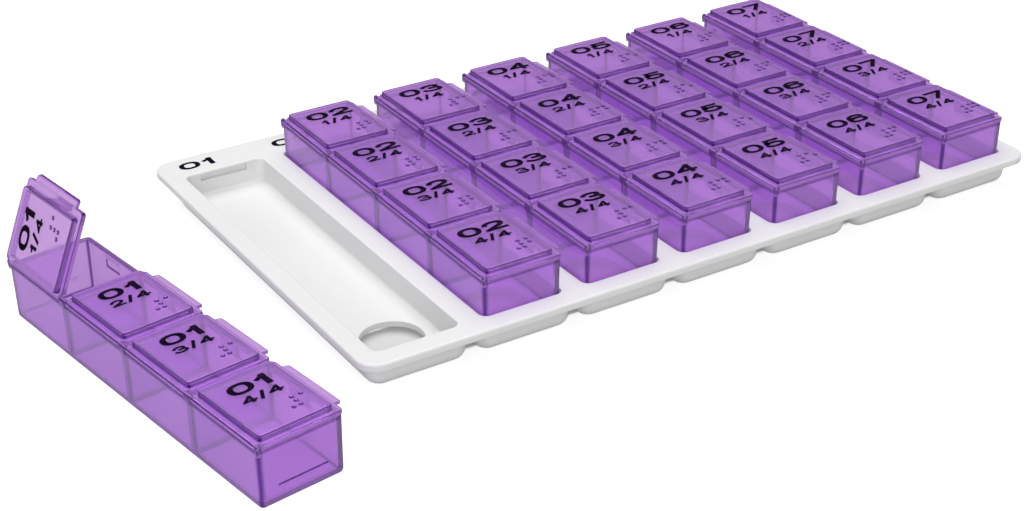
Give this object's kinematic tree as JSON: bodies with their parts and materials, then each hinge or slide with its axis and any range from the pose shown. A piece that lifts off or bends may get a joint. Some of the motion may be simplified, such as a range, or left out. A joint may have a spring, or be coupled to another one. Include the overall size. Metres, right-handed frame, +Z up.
{
  "type": "weekly pill organizer",
  "caption": "Weekly pill organizer: translucent lidded day boxes, split into dose compartments, that sit in the wells of a white tray; one box stands beside it.",
  "frame": {"origin": "on the table, under the middle of the whole set with the loose day box", "axes": "+X along the week, +Y to the tray's wide numbered flange, +Z up"},
  "size_m": [0.2888, 0.1644, 0.0412],
  "materials": {
    "tray_plastic": "satin opaque white moulding",
    "box_plastic": "glossy translucent purple moulding",
    "lid_plastic": "glossy translucent purple moulding"
  },
  "bodies": {
    "tray": {"tray": "tray_plastic"},
    "box_1": {"box_1": "box_plastic"},
    "lid_1_1": {"lid_1_1": "lid_plastic"},
    "lid_1_2": {"lid_1_2": "lid_plastic"},
    "lid_1_3": {"lid_1_3": "lid_plastic"},
    "lid_1_4": {"lid_1_4": "lid_plastic"},
    "box_2": {"box_2": "box_plastic"},
    "lid_2_1": {"lid_2_1": "lid_plastic"},
    "lid_2_2": {"lid_2_2": "lid_plastic"},
    "lid_2_3": {"lid_2_3": "lid_plastic"},
    "lid_2_4": {"lid_2_4": "lid_plastic"},
    "box_3": {"box_3": "box_plastic"},
    "lid_3_1": {"lid_3_1": "lid_plastic"},
    "lid_3_2": {"lid_3_2": "lid_plastic"},
    "lid_3_3": {"lid_3_3": "lid_plastic"},
    "lid_3_4": {"lid_3_4": "lid_plastic"},
    "box_4": {"box_4": "box_plastic"},
    "lid_4_1": {"lid_4_1": "lid_plastic"},
    "lid_4_2": {"lid_4_2": "lid_plastic"},
    "lid_4_3": {"lid_4_3": "lid_plastic"},
    "lid_4_4": {"lid_4_4": "lid_plastic"},
    "box_5": {"box_5": "box_plastic"},
    "lid_5_1": {"lid_5_1": "lid_plastic"},
    "lid_5_2": {"lid_5_2": "lid_plastic"},
    "lid_5_3": {"lid_5_3": "lid_plastic"},
    "lid_5_4": {"lid_5_4": "lid_plastic"},
    "box_6": {"box_6": "box_plastic"},
    "lid_6_1": {"lid_6_1": "lid_plastic"},
    "lid_6_2": {"lid_6_2": "lid_plastic"},
    "lid_6_3": {"lid_6_3": "lid_plastic"},
    "lid_6_4": {"lid_6_4": "lid_plastic"},
    "box_7": {"box_7": "box_plastic"},
    "lid_7_1": {"lid_7_1": "lid_plastic"},
    "lid_7_2": {"lid_7_2": "lid_plastic"},
    "lid_7_3": {"lid_7_3": "lid_plastic"},
    "lid_7_4": {"lid_7_4": "lid_plastic"}
  },
  "joints": [
    {"name": "box_1_lift", "type": "slide", "parent": "tray", "child": "box_1", "axis": [0, 0, 1], "range_m": [0, 0.04]},
    {"name": "lid_1_1_hinge", "type": "hinge", "parent": "box_1", "child": "lid_1_1", "pos_m": [-0.14108, 0.02019, 0.01725], "axis": [0.1495, -0.9888, 0], "range_deg": [-67, 43]},
    {"name": "lid_1_2_hinge", "type": "hinge", "parent": "box_1", "child": "lid_1_2", "pos_m": [-0.13664, -0.00918, 0.01725], "axis": [0.1495, -0.9888, 0], "range_deg": [0, 110]},
    {"name": "lid_1_3_hinge", "type": "hinge", "parent": "box_1", "child": "lid_1_3", "pos_m": [-0.1322, -0.03855, 0.01725], "axis": [0.1495, -0.9888, 0], "range_deg": [0, 110]},
    {"name": "lid_1_4_hinge", "type": "hinge", "parent": "box_1", "child": "lid_1_4", "pos_m": [-0.12775, -0.06791, 0.01725], "axis": [0.1495, -0.9888, 0], "range_deg": [0, 110]},
    {"name": "box_2_lift", "type": "slide", "parent": "tray", "child": "box_2", "axis": [0, 0, 1], "range_m": [0, 0.04]},
    {"name": "lid_2_1_hinge", "type": "hinge", "parent": "box_2", "child": "lid_2_1", "pos_m": [-0.04555, 0.05482, 0.02065], "axis": [0, -1, 0], "range_deg": [0, 110]},
    {"name": "lid_2_2_hinge", "type": "hinge", "parent": "box_2", "child": "lid_2_2", "pos_m": [-0.04555, 0.02512, 0.02065], "axis": [0, -1, 0], "range_deg": [0, 110]},
    {"name": "lid_2_3_hinge", "type": "hinge", "parent": "box_2", "child": "lid_2_3", "pos_m": [-0.04555, -0.00458, 0.02065], "axis": [0, -1, 0], "range_deg": [0, 110]},
    {"name": "lid_2_4_hinge", "type": "hinge", "parent": "box_2", "child": "lid_2_4", "pos_m": [-0.04555, -0.03428, 0.02065], "axis": [0, -1, 0], "range_deg": [0, 110]},
    {"name": "box_3_lift", "type": "slide", "parent": "tray", "child": "box_3", "axis": [0, 0, 1], "range_m": [0, 0.04]},
    {"name": "lid_3_1_hinge", "type": "hinge", "parent": "box_3", "child": "lid_3_1", "pos_m": [-0.01355, 0.05482, 0.02065], "axis": [0, -1, 0], "range_deg": [0, 110]},
    {"name": "lid_3_2_hinge", "type": "hinge", "parent": "box_3", "child": "lid_3_2", "pos_m": [-0.01355, 0.02512, 0.02065], "axis": [0, -1, 0], "range_deg": [0, 110]},
    {"name": "lid_3_3_hinge", "type": "hinge", "parent": "box_3", "child": "lid_3_3", "pos_m": [-0.01355, -0.00458, 0.02065], "axis": [0, -1, 0], "range_deg": [0, 110]},
    {"name": "lid_3_4_hinge", "type": "hinge", "parent": "box_3", "child": "lid_3_4", "pos_m": [-0.01355, -0.03428, 0.02065], "axis": [0, -1, 0], "range_deg": [0, 110]},
    {"name": "box_4_lift", "type": "slide", "parent": "tray", "child": "box_4", "axis": [0, 0, 1], "range_m": [0, 0.04]},
    {"name": "lid_4_1_hinge", "type": "hinge", "parent": "box_4", "child": "lid_4_1", "pos_m": [0.01845, 0.05482, 0.02065], "axis": [0, -1, 0], "range_deg": [0, 110]},
    {"name": "lid_4_2_hinge", "type": "hinge", "parent": "box_4", "child": "lid_4_2", "pos_m": [0.01845, 0.02512, 0.02065], "axis": [0, -1, 0], "range_deg": [0, 110]},
    {"name": "lid_4_3_hinge", "type": "hinge", "parent": "box_4", "child": "lid_4_3", "pos_m": [0.01845, -0.00458, 0.02065], "axis": [0, -1, 0], "range_deg": [0, 110]},
    {"name": "lid_4_4_hinge", "type": "hinge", "parent": "box_4", "child": "lid_4_4", "pos_m": [0.01845, -0.03428, 0.02065], "axis": [0, -1, 0], "range_deg": [0, 110]},
    {"name": "box_5_lift", "type": "slide", "parent": "tray", "child": "box_5", "axis": [0, 0, 1], "range_m": [0, 0.04]},
    {"name": "lid_5_1_hinge", "type": "hinge", "parent": "box_5", "child": "lid_5_1", "pos_m": [0.05045, 0.05482, 0.02065], "axis": [0, -1, 0], "range_deg": [0, 110]},
    {"name": "lid_5_2_hinge", "type": "hinge", "parent": "box_5", "child": "lid_5_2", "pos_m": [0.05045, 0.02512, 0.02065], "axis": [0, -1, 0], "range_deg": [0, 110]},
    {"name": "lid_5_3_hinge", "type": "hinge", "parent": "box_5", "child": "lid_5_3", "pos_m": [0.05045, -0.00458, 0.02065], "axis": [0, -1, 0], "range_deg": [0, 110]},
    {"name": "lid_5_4_hinge", "type": "hinge", "parent": "box_5", "child": "lid_5_4", "pos_m": [0.05045, -0.03428, 0.02065], "axis": [0, -1, 0], "range_deg": [0, 110]},
    {"name": "box_6_lift", "type": "slide", "parent": "tray", "child": "box_6", "axis": [0, 0, 1], "range_m": [0, 0.04]},
    {"name": "lid_6_1_hinge", "type": "hinge", "parent": "box_6", "child": "lid_6_1", "pos_m": [0.08245, 0.05482, 0.02065], "axis": [0, -1, 0], "range_deg": [0, 110]},
    {"name": "lid_6_2_hinge", "type": "hinge", "parent": "box_6", "child": "lid_6_2", "pos_m": [0.08245, 0.02512, 0.02065], "axis": [0, -1, 0], "range_deg": [0, 110]},
    {"name": "lid_6_3_hinge", "type": "hinge", "parent": "box_6", "child": "lid_6_3", "pos_m": [0.08245, -0.00458, 0.02065], "axis": [0, -1, 0], "range_deg": [0, 110]},
    {"name": "lid_6_4_hinge", "type": "hinge", "parent": "box_6", "child": "lid_6_4", "pos_m": [0.08245, -0.03428, 0.02065], "axis": [0, -1, 0], "range_deg": [0, 110]},
    {"name": "box_7_lift", "type": "slide", "parent": "tray", "child": "box_7", "axis": [0, 0, 1], "range_m": [0, 0.04]},
    {"name": "lid_7_1_hinge", "type": "hinge", "parent": "box_7", "child": "lid_7_1", "pos_m": [0.11445, 0.05482, 0.02065], "axis": [0, -1, 0], "range_deg": [0, 110]},
    {"name": "lid_7_2_hinge", "type": "hinge", "parent": "box_7", "child": "lid_7_2", "pos_m": [0.11445, 0.02512, 0.02065], "axis": [0, -1, 0], "range_deg": [0, 110]},
    {"name": "lid_7_3_hinge", "type": "hinge", "parent": "box_7", "child": "lid_7_3", "pos_m": [0.11445, -0.00458, 0.02065], "axis": [0, -1, 0], "range_deg": [0, 110]},
    {"name": "lid_7_4_hinge", "type": "hinge", "parent": "box_7", "child": "lid_7_4", "pos_m": [0.11445, -0.03428, 0.02065], "axis": [0, -1, 0], "range_deg": [0, 110]}
  ]
}
